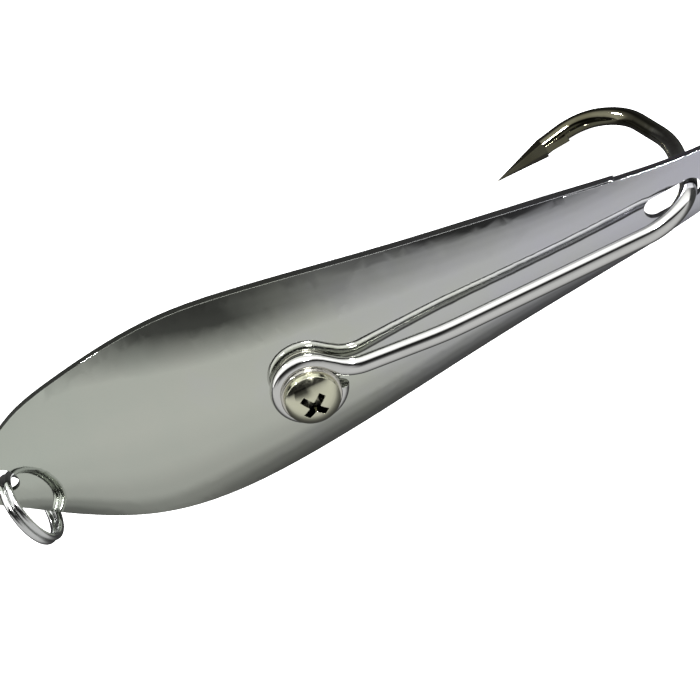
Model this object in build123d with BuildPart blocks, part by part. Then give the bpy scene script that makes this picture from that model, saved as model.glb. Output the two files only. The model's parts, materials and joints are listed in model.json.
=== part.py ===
from build123d import *
import os
from math import asin, atan2, cos, degrees, radians, sin, sqrt

# Slotted trolling spoon, millimetres.
# +X runs from the nose (line end) to the tail, +Z is up, on the convex side that carries the screw.
# The origin is the centre of the nose hole on the convex face.

# ---- blade ------------------------------------------------------------------------------------
sheet = 1.2                # thickness of the stainless sheet
screw_x = 54.5             # clamp screw, behind the nose hole; the crown is level here
nose_tip_x = -5.5
tail_tip_x = 139.0
tail_end_radius = 4.4
tail_side_angle = 8.3      # degrees, taper of each side near the tail
half_widths = [(0.5, 7.4), (6.5, 11.3), (12.5, 14.3), (24.5, 18.1), (36.5, 19.3), (48.5, 18.3),
               (66.5, 15.3), (90.5, 11.2), (114.5, 7.6)]
nose_drop = 0.003535       # crown falls by this times the square of the distance ahead of the screw
rear_drop = 0.00034        # the same behind the screw
tail_drop = 0.0075         # added fall behind tail_bend_x
tail_bend_x = 114.5
# station along the blade, outside radius across it, half span of the formed strip there
formed_sections = [(-9, 39, 12), (14, 39.5, 20), (36, 38, 23), (54.5, 30, 22), (74, 23.2, 18),
                   (92, 17.4, 14.5), (108, 14.4, 12), (124, 14.6, 10), (142, 16, 9)]
nose_hole_d = 5.0
screw_hole_d = 5.2
slot_start_x = 117.3
slot_end_x = 127.9
slot_width = 3.9
cutter_bottom_z = -30      # the outline and the holes are cut straight down between these heights
cutter_height = 70

# ---- hook -------------------------------------------------------------------------------------
wire_d = 3.1
eye_radius = 5.2           # to the wire's centre
eye_end_angle = -20        # degrees, where the wire is cut off
eye_neck_angle = 48        # degrees, where the wire leaves the eye towards the shank
shank_rise = 4.8           # height of the shank's centre over the screw's seat
shank_rise_x = 25.0        # reached this far behind the screw
throat_back_x = 72.0       # the wire's centre where it comes down through the slot
throat_drop = 0.6          # the shank falls by this from its rise to the throat
bend_corners = [(70.8, -17.5), (65.2, -30.3), (57.6, -34.9)]    # behind the screw, over its seat
bend_radii = [20, 13, 9]
point_tip_x = 40.9
point_tip_z = -28.6
upper_bend_radius = 10.0
neck_bend_radius = 7.0
rise_bend_radius = 45.0
point_length = 13.0        # cut point, from the barb's root to the tip
spear_length = 9.6         # from the shoulder to the tip
spear_radius = 1.75        # over the corners of its six facets, at the shoulder
spear_offset = 0.3         # the shoulder stands proud on the side that faces the blade
spear_tip_radius = 0.06
barb_outline = [(3.5, 1.5), (-0.8, 2.4), (1.1, 1.1), (3.5, 0.8)]    # along the point, and out from the wire
barb_width = 1.3

# ---- fasteners --------------------------------------------------------------------------------
washer_d = 10.4
washer_bore_d = 5.2
washer_t = 1.0
washer_chamfer = 0.15
screw_d = 4.8
head_d = 9.6
head_h = 3.3
head_side_h = 1.1
head_edge = 0.15           # chamfer under the head's rim
head_draft = 0.1           # the head's side leans in by this
screw_end_chamfer = 0.5
recess_across = 5.6
recess_wing = 1.3
recess_depth = 2.2
recess_turn = 35           # degrees from +X
recess_bottom = 3.4
recess_wing_bottom = 0.9
recess_core = 2.0          # square core turned 45 degrees to the wings
lock_d = 8.7
lock_t = 1.2
lock_gap = 0.9
nut_flats = 9.5
nut_h = 3.2
nut_turn = 30              # degrees, a flat faces the tail
nut_corner_share = 0.96    # the top and bottom rounds are this share of the flats
nut_corner_taper = 30
screw_tail = 1.3           # thread past the nut
fit_gap = 0.02
crown_gap = 0.05           # under the seat washer, which stands on the crown of the blade

# ---- split ring -------------------------------------------------------------------------------
ring_wire_d = 1.3
ring_pitch = 1.33
ring_turns = 1.93
ring_radius = 6.5          # to the wire's centre
ring_turned_from_tail = 72    # degrees about the blade's normal, from the tail towards the lower edge
ring_rise = 8              # degrees, its centre stands up from the blade's level at the hole
ring_lean = 14             # degrees, about the line from the hole to its centre
ring_seat = 0.3            # it bears on the hole this far behind the middle
ring_ends = -125           # degrees round the ring from its far side, where the wire starts


def crown_z(x):
    """Height of the blade's outer face on its centre line."""
    behind = x - screw_x
    drop = nose_drop if behind < 0 else rear_drop
    tail = tail_drop * max(0.0, x - tail_bend_x) ** 2
    return nose_drop * screw_x ** 2 - drop * behind ** 2 - tail


seat_z = crown_z(screw_x)
wire_r = wire_d / 2
# the washers' rims bear on the round of the eye just inside its top and bottom
bearing = sqrt(wire_r ** 2 - (eye_radius - washer_d / 2) ** 2) + fit_gap
seat_washer_z = seat_z + crown_gap
eye_z = seat_washer_z + washer_t + bearing
head_washer_z = eye_z + bearing
head_z = head_washer_z + washer_t
# the lock washer's rim meets the hollow underside first
hollow_radius = formed_sections[3][1] - sheet
hollow_sag = hollow_radius - sqrt(hollow_radius ** 2 - (lock_d / 2) ** 2)
lock_z = seat_z - sheet - hollow_sag - lock_t - fit_gap
nut_z = lock_z - nut_h
screw_end_z = nut_z - screw_tail


def cross_section(x, radius, half_span):
    """One curved strip across the blade, crown up, in the plane square to X."""
    top = crown_z(x)
    centre_z = top - radius
    inner = radius - sheet
    half_angle = degrees(asin(half_span / radius))
    start = 90 - half_angle
    with BuildSketch(Plane(origin=(x, 0, 0), x_dir=(0, 1, 0), z_dir=(1, 0, 0))) as section:
        with BuildLine():
            outer_arc = CenterArc((0, centre_z), radius, start, 2 * half_angle)
            inner_arc = CenterArc((0, centre_z), inner, start, 2 * half_angle)
            Line(outer_arc @ 0, inner_arc @ 0)
            Line(outer_arc @ 1, inner_arc @ 1)
        make_face()
    return section.sketch


# ---- blade: a strip formed to the crown and camber, trimmed to the spoon's outline --------------
tail_centre_x = tail_tip_x - tail_end_radius
tail_touch_x = tail_centre_x + tail_end_radius * sin(radians(tail_side_angle))
tail_touch_y = tail_end_radius * cos(radians(tail_side_angle))
tail_direction = (cos(radians(tail_side_angle)), -sin(radians(tail_side_angle)))
tail_middle = radians((90 - tail_side_angle) / 2)

with BuildPart() as blade:
    for station in formed_sections:
        add(cross_section(*station))
    loft()
    with BuildSketch(Plane.XY.offset(cutter_bottom_z)):
        with BuildLine():
            Spline(
                (nose_tip_x, 0),
                *half_widths,
                (tail_touch_x, tail_touch_y),
                tangents=((0, 1), tail_direction),
            )
            ThreePointArc(
                (tail_touch_x, tail_touch_y),
                (tail_centre_x + tail_end_radius * cos(tail_middle), tail_end_radius * sin(tail_middle)),
                (tail_tip_x, 0),
            )
            mirror(about=Plane.XZ)
        make_face()
    extrude(amount=cutter_height, mode=Mode.INTERSECT)
    with BuildSketch(Plane.XY.offset(cutter_bottom_z)):
        Circle(nose_hole_d / 2)
        with Locations((screw_x, 0)):
            Circle(screw_hole_d / 2)
        with Locations(((slot_start_x + slot_end_x) / 2, 0)):
            SlotOverall(slot_end_x - slot_start_x, slot_width)
    extrude(amount=cutter_height, mode=Mode.SUBTRACT)
blade.part.label = "blade"


# ---- hook: a round wire that ends in an open eye at the front and a cut point at the back --------
def on_eye(angle):
    """Point on the eye's centre line."""
    return (
        screw_x + eye_radius * cos(radians(angle)),
        eye_radius * sin(radians(angle)),
        eye_z,
    )


def behind_screw(x, height):
    """Point on the hook's plane, from the screw's seat."""
    return (screw_x + x, 0, seat_z + height)


neck_run = eye_radius * sin(radians(eye_neck_angle)) / cos(radians(eye_neck_angle))
neck_end_x = eye_radius * cos(radians(eye_neck_angle)) + neck_run * sin(radians(eye_neck_angle))
point_tip = Vector(*behind_screw(point_tip_x, point_tip_z))
last_corner = Vector(*behind_screw(*bend_corners[-1]))
to_tip = (point_tip - last_corner).normalized()
barb_root = point_tip - to_tip * point_length
shoulder = point_tip - to_tip * spear_length
wire_start = Vector(*on_eye(eye_end_angle))
wire_start_direction = Vector(sin(radians(eye_end_angle)), -cos(radians(eye_end_angle)), 0)

with BuildPart() as hook:
    with BuildLine() as hook_line:
        eye_middle_angle = (eye_end_angle + eye_neck_angle) / 2 + 180
        ThreePointArc(on_eye(eye_end_angle), on_eye(eye_middle_angle), on_eye(eye_neck_angle))
        FilletPolyline(
            on_eye(eye_neck_angle),
            behind_screw(neck_end_x, eye_z - seat_z),
            behind_screw(shank_rise_x, shank_rise),
            behind_screw(throat_back_x, shank_rise - throat_drop),
            *[behind_screw(*corner) for corner in bend_corners],
            shoulder,
            radius=[neck_bend_radius, rise_bend_radius, upper_bend_radius, *bend_radii],
        )
    with BuildSketch(Plane(origin=wire_start, z_dir=wire_start_direction)):
        Circle(wire_r)
    sweep(path=hook_line.wires()[0])
    # six-sided cut point
    inward = Vector(-to_tip.Z, 0, to_tip.X) * -1
    with BuildSketch(Plane(origin=shoulder + inward * spear_offset, x_dir=inward, z_dir=to_tip)):
        RegularPolygon(spear_radius, 6)
    with BuildSketch(Plane(origin=point_tip, x_dir=inward, z_dir=to_tip)):
        RegularPolygon(spear_tip_radius, 6)
    loft()
    # barb raised from the wire behind the shoulder
    with BuildSketch(Plane(origin=barb_root, x_dir=to_tip, z_dir=(0, 1, 0))):
        with BuildLine():
            Polyline(*barb_outline, close=True)
        make_face()
    extrude(amount=barb_width / 2, both=True)
hook.part.label = "hook"


# ---- fasteners on the screw's axis ---------------------------------------------------------------
def washer(bottom_z):
    """Flat round washer on the screw's axis."""
    with BuildPart() as ring:
        with BuildSketch(Plane.XY.offset(bottom_z)):
            with Locations((screw_x, 0)):
                Circle(washer_d / 2)
                Circle(washer_bore_d / 2, mode=Mode.SUBTRACT)
        extrude(amount=washer_t)
        rims = ring.edges().filter_by(GeomType.CIRCLE).sort_by(SortBy.RADIUS)[-2:]
        chamfer(rims, washer_chamfer)
    return ring.part


seat_washer = washer(seat_washer_z)
seat_washer.label = "seat_washer"
head_washer = washer(head_washer_z)
head_washer.label = "head_washer"

screw_r = screw_d / 2
head_r = head_d / 2
screw_length = head_z - screw_end_z
dome_h = head_h - head_side_h
dome_radius = ((head_r - head_draft) ** 2 + dome_h ** 2) / (2 * dome_h)

with BuildPart() as clamp_screw:
    with BuildSketch(Plane(origin=(screw_x, 0, head_z), x_dir=(1, 0, 0), z_dir=(0, -1, 0))):
        with BuildLine():
            Polyline(
                (0, head_h),
                (0, -screw_length),
                (screw_r - screw_end_chamfer, -screw_length),
                (screw_r, screw_end_chamfer - screw_length),
                (screw_r, 0),
                (head_r - head_edge, 0),
                (head_r, head_edge),
                (head_r - head_draft, head_side_h),
            )
            RadiusArc((0, head_h), (head_r - head_draft, head_side_h), dome_radius)
        make_face()
    revolve(axis=Axis((screw_x, 0, 0), (0, 0, 1)))
    # cross recess, two wings that taper as they go down
    for turn in (recess_turn, recess_turn + 90):
        with BuildSketch(Plane.XY.offset(head_z + head_h)):
            with Locations(Location((screw_x, 0), turn)):
                Rectangle(recess_across, recess_wing)
        with BuildSketch(Plane.XY.offset(head_z + head_h - recess_depth)):
            with Locations(Location((screw_x, 0), turn)):
                Rectangle(recess_bottom, recess_wing_bottom)
        loft(mode=Mode.SUBTRACT)
    with BuildSketch(Plane.XY.offset(head_z + head_h)):
        with Locations(Location((screw_x, 0), recess_turn + 45)):
            Rectangle(recess_core, recess_core)
    extrude(amount=-recess_depth, mode=Mode.SUBTRACT)
clamp_screw.part.label = "clamp_screw"

with BuildPart() as lock_washer:
    with BuildSketch(Plane.XY.offset(lock_z)):
        with Locations((screw_x, 0)):
            Circle(lock_d / 2)
            Circle(washer_bore_d / 2, mode=Mode.SUBTRACT)
        with Locations((screw_x + (lock_d + washer_bore_d) / 4, 0)):
            Rectangle(lock_d - washer_bore_d, lock_gap, mode=Mode.SUBTRACT)
    extrude(amount=lock_t)
lock_washer.part.label = "lock_washer"

with BuildPart() as hex_nut:
    with BuildSketch(Plane.XY.offset(nut_z)):
        with Locations((screw_x, 0)):
            RegularPolygon(nut_flats / 2, 6, major_radius=False, rotation=nut_turn)
    extrude(amount=nut_h - fit_gap)
    with BuildSketch(Plane.XY.offset(nut_z)):
        with Locations((screw_x, 0)):
            Circle(nut_flats / 2 * nut_corner_share)
    extrude(amount=nut_h - fit_gap, taper=-nut_corner_taper, mode=Mode.INTERSECT)
    with BuildSketch(Plane.XY.offset(nut_z)):
        with Locations((screw_x, 0)):
            Circle(screw_d / 2 + fit_gap)
    extrude(amount=nut_h, mode=Mode.SUBTRACT)
hex_nut.part.label = "hex_nut"

# ---- split ring: nearly two turns of wire, through the nose hole and round the lower edge --------
nose_slope = atan2(crown_z(1) - crown_z(-1), 2)
sheet_normal = Vector(-sin(nose_slope), 0, cos(nose_slope))
along_sheet = Vector(cos(nose_slope), 0, sin(nose_slope))
turned = radians(ring_turned_from_tail)
rise = radians(ring_rise)
lean = radians(ring_lean)
level = along_sheet * cos(turned) + Vector(0, -1, 0) * sin(turned)
to_ring_centre = level * cos(rise) + sheet_normal * sin(rise)
ring_up = sheet_normal * cos(rise) - level * sin(rise)
ring_axis = ring_up.cross(to_ring_centre) * cos(lean) - ring_up * sin(lean)
ring_centre = sheet_normal * (-sheet / 2) + along_sheet * ring_seat + to_ring_centre * ring_radius
ring_height = ring_pitch * ring_turns

with BuildPart() as split_ring:
    # wound about the reversed axis
    with BuildLine() as coil:
        Helix(
            pitch=ring_pitch,
            height=ring_height,
            radius=ring_radius,
            center=ring_centre + ring_axis * (ring_height / 2),
            direction=-ring_axis,
        )
    with BuildSketch(Plane(origin=coil.line @ 0, z_dir=coil.line % 0)):
        Circle(ring_wire_d / 2)
    sweep(path=coil.line, is_frenet=True)
# both ends of the wire are turned to lie under the blade
coil_start = coil.line @ 0 - ring_centre
start_angle = degrees(atan2(coil_start.dot(ring_up), coil_start.dot(to_ring_centre)))
split_ring.part = split_ring.part.rotate(Axis(ring_centre, ring_axis), start_angle - ring_ends)
split_ring.part.label = "split_ring"

os.makedirs("parts", exist_ok=True)
for piece in (
    blade.part,
    hook.part,
    seat_washer,
    head_washer,
    clamp_screw.part,
    lock_washer.part,
    hex_nut.part,
    split_ring.part,
):
    export_step(piece, f"parts/{piece.label}.step")
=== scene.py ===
import bpy
import json
import math
from mathutils import Matrix, Vector


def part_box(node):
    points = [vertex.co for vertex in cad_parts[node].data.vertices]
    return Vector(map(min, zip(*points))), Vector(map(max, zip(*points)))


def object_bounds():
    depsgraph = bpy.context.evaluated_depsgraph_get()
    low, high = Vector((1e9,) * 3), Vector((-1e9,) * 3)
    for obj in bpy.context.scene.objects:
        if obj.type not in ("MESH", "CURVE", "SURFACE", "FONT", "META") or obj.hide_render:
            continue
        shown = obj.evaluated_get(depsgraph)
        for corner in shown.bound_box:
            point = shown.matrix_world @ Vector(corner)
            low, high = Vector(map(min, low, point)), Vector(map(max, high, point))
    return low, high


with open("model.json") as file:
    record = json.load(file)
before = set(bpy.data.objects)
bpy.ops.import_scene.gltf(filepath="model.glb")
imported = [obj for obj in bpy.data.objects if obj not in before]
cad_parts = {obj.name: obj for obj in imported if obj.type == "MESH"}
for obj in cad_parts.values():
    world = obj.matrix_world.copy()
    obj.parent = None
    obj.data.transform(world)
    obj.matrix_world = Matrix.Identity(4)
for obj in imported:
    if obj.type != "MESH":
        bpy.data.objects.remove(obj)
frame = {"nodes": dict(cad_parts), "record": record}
cad_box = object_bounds()
scene = bpy.context.scene
cad = frame["nodes"]
MM = 0.001

# noise cells per metre along x, y, z, and how many octaves and how rough the octaves are
patch_octaves, patch_roughness = 5.0, 0.6
grain_octaves, grain_roughness = 3.0, 0.5
scuff_cells = (900.0, 5200.0, 2600.0)
scuff_octaves, scuff_roughness = 6.0, 0.75
scuff_range = (0.62, 0.75)
scuff_share = 0.35
noise_range = (0.3, 0.7)
tint_sway = 0.12
# painted shade: stops that multiply a part's colour down to near black where ambient occlusion
# finds a hollow
recess_shade_stops = [(0.55, (0.01, 0.01, 0.012)), (0.8, (1.0, 1.0, 1.0))]
recess_shade_samples = 8
rim_samples = 6


# ---- materials -----------------------------------------------------------------------------------
def link_all(tree, pairs):
    for source, target in pairs:
        tree.links.new(source, target)


def ramp(tree, stops):
    """A colour ramp from (position, colour) pairs."""
    node = tree.nodes.new("ShaderNodeValToRGB")
    elements = node.color_ramp.elements
    elements[0].position, elements[1].position = stops[0][0], stops[-1][0]
    elements[0].color, elements[1].color = (*stops[0][1], 1), (*stops[-1][1], 1)
    for position, colour in stops[1:-1]:
        elements.new(position).color = (*colour, 1)
    return node


def noise(tree, coordinate, cells, octaves, roughness):
    """Noise with that many cells per metre along x, y and z."""
    mapping = tree.nodes.new("ShaderNodeMapping")
    mapping.inputs["Scale"].default_value = cells
    texture = tree.nodes.new("ShaderNodeTexNoise")
    texture.inputs["Scale"].default_value = 1.0
    texture.inputs["Detail"].default_value = octaves
    texture.inputs["Roughness"].default_value = roughness
    tree.links.new(coordinate, mapping.inputs["Vector"])
    tree.links.new(mapping.outputs["Vector"], texture.inputs["Vector"])
    return texture.outputs["Fac"]


def remap(tree, value, low, high, to_low, to_high):
    """The value moved from low..high to to_low..to_high."""
    node = tree.nodes.new("ShaderNodeMapRange")
    limits = {"From Min": low, "From Max": high, "To Min": to_low, "To Max": to_high}
    for name, number in limits.items():
        node.inputs[name].default_value = number
    tree.links.new(value, node.inputs["Value"])
    return node.outputs["Result"]


def combine(tree, operation, first, second):
    """A maths operation on two sockets."""
    node = tree.nodes.new("ShaderNodeMath")
    node.operation = operation
    tree.links.new(first, node.inputs[0])
    tree.links.new(second, node.inputs[1])
    return node.outputs[0]


def metal(
    name,
    colours,
    rough,
    grain_cells,
    grain_height,
    rim,
    patch_cells=160.0,
    along=None,
    recess_shade=0.0,
):
    """Metal with a varying tint, fine grain that also sets the roughness, and faint scuffs.

    colours are ramp stops, spread over tint patches or, with along = (axis, start, end), down
    that axis. rough is the lowest and highest roughness. Edges look rounded to rim metres.
    The last argument is how far, in metres, painted shade darkens the colour in hollows, found by
    ambient occlusion.
    """
    material = bpy.data.materials.new(name)
    material.use_nodes = True
    tree = material.node_tree
    shader = tree.nodes["Principled BSDF"]
    place = tree.nodes.new("ShaderNodeTexCoord").outputs["Object"]
    patches = noise(tree, place, (patch_cells,) * 3, patch_octaves, patch_roughness)
    grain = noise(tree, place, grain_cells, grain_octaves, grain_roughness)
    scuffs = noise(tree, place, scuff_cells, scuff_octaves, scuff_roughness)

    tint = ramp(tree, colours)
    # a run along an axis paints light: painted shade on the hook's bend, painted reflected hue on
    # the blade
    if along:
        axes = tree.nodes.new("ShaderNodeSeparateXYZ")
        tree.links.new(place, axes.inputs["Vector"])
        run = remap(tree, axes.outputs[along[0]], along[1], along[2], 0.0, 1.0)
        sway = remap(tree, patches, *noise_range, -tint_sway, tint_sway)
        run = combine(tree, "ADD", run, sway)
        tree.links.new(run, tint.inputs["Fac"])
    else:
        tree.links.new(patches, tint.inputs["Fac"])
    colour = tint.outputs["Color"]
    if recess_shade:
        # painted shade: ambient occlusion darkens the colour in hollows, making the screw head's
        # recess black
        hollow = tree.nodes.new("ShaderNodeAmbientOcclusion")
        hollow.only_local = True
        hollow.samples = recess_shade_samples
        hollow.inputs["Distance"].default_value = recess_shade
        shade = ramp(tree, recess_shade_stops)
        tree.links.new(hollow.outputs["AO"], shade.inputs["Fac"])
        recess_darkened = tree.nodes.new("ShaderNodeMix")
        recess_darkened.data_type = "RGBA"
        recess_darkened.blend_type = "MULTIPLY"
        recess_darkened.inputs["Factor"].default_value = 1.0
        tree.links.new(colour, recess_darkened.inputs["A"])
        tree.links.new(shade.outputs["Color"], recess_darkened.inputs["B"])
        colour = recess_darkened.outputs["Result"]
    tree.links.new(colour, shader.inputs["Base Color"])

    spread = remap(tree, grain, *noise_range, *rough)
    marks = remap(tree, scuffs, *scuff_range, 0.0, scuff_share * rough[1])
    tree.links.new(combine(tree, "ADD", spread, marks), shader.inputs["Roughness"])

    bump = tree.nodes.new("ShaderNodeBump")
    bump.inputs["Strength"].default_value = 1.0
    bump.inputs["Distance"].default_value = grain_height
    rounding = tree.nodes.new("ShaderNodeBevel")
    rounding.samples = rim_samples
    rounding.inputs["Radius"].default_value = rim
    link_all(
        tree,
        [
            (rounding.outputs["Normal"], bump.inputs["Normal"]),
            (grain, bump.inputs["Height"]),
            (bump.outputs["Normal"], shader.inputs["Normal"]),
        ],
    )
    shader.inputs["Metallic"].default_value = 1.0
    return material


blade_lo, blade_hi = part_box("blade")
hook_lo, hook_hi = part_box("hook")
finishes = {
    "polished_stainless": metal(
        "blade_mirror",
        # painted reflection: the hue runs from green grey at the nose to lavender grey at the tail
        [
            (0.0, (0.56, 0.60, 0.53)),
            (0.35, (0.60, 0.62, 0.55)),
            (0.6, (0.60, 0.61, 0.60)),
            (1.0, (0.59, 0.59, 0.66)),
        ],
        (0.035, 0.075),
        (260.0, 3800.0, 3800.0),
        0.0000008,
        0.0001,
        90.0,
        along=("X", blade_lo.x, blade_hi.x),
    ),
    "hook_steel": metal(
        "hook_painted_shade",
        [
            # painted shade: dark olive at the lowest z, where the bend hangs below the blade, to
            # bright steel
            (0.0, (0.10, 0.095, 0.06)),
            (0.3, (0.16, 0.155, 0.11)),
            (0.62, (0.6, 0.6, 0.58)),
            (1.0, (0.72, 0.72, 0.70)),
        ],
        (0.05, 0.11),
        (420.0, 5200.0, 5200.0),
        0.000001,
        0.0001,
        along=("Z", hook_lo.z, hook_hi.z),
    ),
    "washer_steel": metal(
        "washer_plain",
        [(0.3, (0.58, 0.56, 0.50)), (0.7, (0.66, 0.65, 0.60))],
        (0.12, 0.24),
        (2600.0, 2600.0, 2600.0),
        0.000002,
        0.00012,
    ),
    "screw_nickel": metal(
        "screw_plated",
        [(0.3, (0.70, 0.70, 0.52)), (0.7, (0.76, 0.75, 0.60))],
        (0.07, 0.14),
        (1800.0, 1800.0, 1800.0),
        0.0000015,
        0.00018,
        # painted shade in the screw head's recess
        recess_shade=0.0016,
    ),
    "lock_steel": metal(
        "lock_oiled",
        [(0.3, (0.34, 0.34, 0.33)), (0.7, (0.42, 0.41, 0.40))],
        (0.22, 0.36),
        (2400.0, 2400.0, 2400.0),
        0.000003,
        0.0001,
    ),
    "ring_steel": metal(
        "ring_bright",
        [(0.3, (0.64, 0.65, 0.64)), (0.7, (0.72, 0.73, 0.72))],
        (0.05, 0.12),
        (2200.0, 2200.0, 5200.0),
        0.000001,
        0.00005,
    ),
}
for part in frame["record"]["subparts"]:
    mesh = cad[part["node"]].data
    mesh.materials.clear()
    mesh.materials.append(finishes[part["material_slot"]])

# ---- floor and studio ----------------------------------------------------------------------------
lowest = cad_box[0].z
floor_half = 4.0
floor_gap = 1.0 * MM
floor_grey = 0.93
floor_roughness = 0.9
floor_glow = 0.9
floor_level = lowest - floor_gap
floor_corners = ((-1, -1), (1, -1), (1, 1), (-1, 1))
floor_mesh = bpy.data.meshes.new("floor")
corners = [(x * floor_half, y * floor_half, floor_level) for x, y in floor_corners]
floor_mesh.from_pydata(corners, [], [(0, 1, 2, 3)])
floor = bpy.data.objects.new("floor", floor_mesh)
scene.collection.objects.link(floor)
paper = bpy.data.materials.new("paper")
paper.use_nodes = True
paper_shader = paper.node_tree.nodes["Principled BSDF"]
paper_shader.inputs["Base Color"].default_value = (floor_grey, floor_grey, floor_grey, 1)
paper_shader.inputs["Roughness"].default_value = floor_roughness
paper_shader.inputs["Emission Color"].default_value = (1, 1, 1, 1)
paper_shader.inputs["Emission Strength"].default_value = floor_glow
floor_mesh.materials.append(paper)
floor.visible_glossy = False

# brightness of the room at angles round the X axis: 0 degrees is +Z, 90 is +Y
room = [
    (-180, 0.08),
    (-140, 0.06),
    (-112, 0.06),
    (-100, 0.10),
    (-90, 0.18),
    (-80, 0.32),
    (-70, 0.52),
    (-50, 0.64),
    (-30, 0.68),
    (-2, 0.66),
    (10, 0.60),
    (20, 0.50),
    (28, 0.38),
    (33, 0.22),
    (37, 0.03),
    (57, 0.01),
    (63, 0.5),
    (70, 1.3),
    (95, 1.7),
    (118, 1.3),
    (132, 0.35),
    (145, 0.05),
    (180, 0.08),
]
room_peak = 1.7
room_seen = 0.4  # what the camera sees of the room directly, as a share of room_peak
world = bpy.data.worlds.new("studio")
scene.world = world
world.use_nodes = True
sky = world.node_tree
background = sky.nodes["Background"]
direction = sky.nodes.new("ShaderNodeTexCoord").outputs["Generated"]
axes = sky.nodes.new("ShaderNodeSeparateXYZ")
sky.links.new(direction, axes.inputs["Vector"])
around = combine(sky, "ARCTAN2", axes.outputs["Y"], axes.outputs["Z"])
turn = remap(sky, around, -math.pi, math.pi, 0.0, 1.0)
glow = ramp(sky, [((angle + 180) / 360, (level / room_peak,) * 3) for angle, level in room])
glow.color_ramp.interpolation = "EASE"
sky.links.new(turn, glow.inputs["Fac"])
pale = sky.nodes.new("ShaderNodeMix")
pale.data_type = "RGBA"
pale.inputs["B"].default_value = (room_seen, room_seen, room_seen, 1)
camera_ray = sky.nodes.new("ShaderNodeLightPath").outputs["Is Camera Ray"]
link_all(
    sky,
    [
        (camera_ray, pale.inputs["Factor"]),
        (glow.outputs["Color"], pale.inputs["A"]),
        (pale.outputs["Result"], background.inputs["Color"]),
    ],
)
background.inputs["Strength"].default_value = room_peak

# two soft lamps beyond the +Y edge: name, direction, width in metres, watts
lamps = (
    ("lamp_front", (-0.49, 0.76, -0.41), 0.09, 9.0),
    ("lamp_back", (0.33, 0.89, 0.33), 0.14, 12.0),
)
lamp_reach = 0.6
middle = (cad_box[0] + cad_box[1]) / 2
for lamp_name, way, side, watts in lamps:
    lamp_data = bpy.data.lights.new(lamp_name, "AREA")
    lamp_data.shape = "DISK"
    lamp_data.size = side
    lamp_data.energy = watts
    lamp = bpy.data.objects.new(lamp_name, lamp_data)
    scene.collection.objects.link(lamp)
    aim = Vector(way).normalized()
    lamp.location = middle + aim * lamp_reach
    lamp.rotation_euler = aim.to_track_quat("Z", "Y").to_euler()

# a dark card above the front of the lure, seen only in reflections and faded out at two sides
card_z = 0.24
card_x = (-0.24, 0.11)
card_y = (0.0, 0.2)
tail_fade = (0.02, 0.1)
edge_fade = (0.0, 0.1)
card_darkness = 0.85
card_mesh = bpy.data.meshes.new("dark_card")
card_corners = [
    (card_x[0], card_y[0], card_z),
    (card_x[1], card_y[0], card_z),
    (card_x[1], card_y[1], card_z),
    (card_x[0], card_y[1], card_z),
]
card_mesh.from_pydata(card_corners, [], [(0, 1, 2, 3)])
card = bpy.data.objects.new("dark_card", card_mesh)
scene.collection.objects.link(card)
felt = bpy.data.materials.new("felt")
felt.use_nodes = True
cloth = felt.node_tree
cloth.nodes.clear()
spot = cloth.nodes.new("ShaderNodeTexCoord").outputs["Object"]
spot_axes = cloth.nodes.new("ShaderNodeSeparateXYZ")
cloth.links.new(spot, spot_axes.inputs["Vector"])
toward_tail = remap(cloth, spot_axes.outputs["X"], *tail_fade, card_darkness, 0.0)
toward_edge = remap(cloth, spot_axes.outputs["Y"], *edge_fade, 0.0, 1.0)
clear = cloth.nodes.new("ShaderNodeBsdfTransparent")
black = cloth.nodes.new("ShaderNodeEmission")
black.inputs["Strength"].default_value = 0.0
blend = cloth.nodes.new("ShaderNodeMixShader")
out = cloth.nodes.new("ShaderNodeOutputMaterial")
link_all(
    cloth,
    [
        (combine(cloth, "MULTIPLY", toward_tail, toward_edge), blend.inputs["Fac"]),
        (clear.outputs["BSDF"], blend.inputs[1]),
        (black.outputs["Emission"], blend.inputs[2]),
        (blend.outputs["Shader"], out.inputs["Surface"]),
    ],
)
card_mesh.materials.append(felt)
card.visible_camera = False
card.visible_diffuse = False
card.visible_shadow = False
card.visible_transmission = False

# ---- camera --------------------------------------------------------------------------------------
right = Vector((0.89978, -0.40269, 0.16802))
up = Vector((0.42383, 0.71507, -0.55592))
toward = right.cross(up).normalized()
distance = 2.06
frame_width = 0.11665
sensor = 36.0
aim_right = 7.17 * MM
aim_up = 4.89 * MM
nearest, farthest = 0.01, 50
seat_lo, seat_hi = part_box("seat_washer")
seat = Vector(((seat_lo.x + seat_hi.x) / 2, (seat_lo.y + seat_hi.y) / 2, seat_lo.z))
target = seat + right * aim_right + up * aim_up
camera_data = bpy.data.cameras.new("camera")
camera_data.sensor_width = sensor
camera_data.lens = sensor * distance / frame_width
camera_data.clip_start = nearest
camera_data.clip_end = farthest
camera = bpy.data.objects.new("camera", camera_data)
scene.collection.objects.link(camera)
stand = Matrix.Translation(target + toward * distance)
camera.matrix_world = stand @ Matrix((right, up, toward)).transposed().to_4x4()
scene.camera = camera
scene.view_settings.view_transform = "Standard"
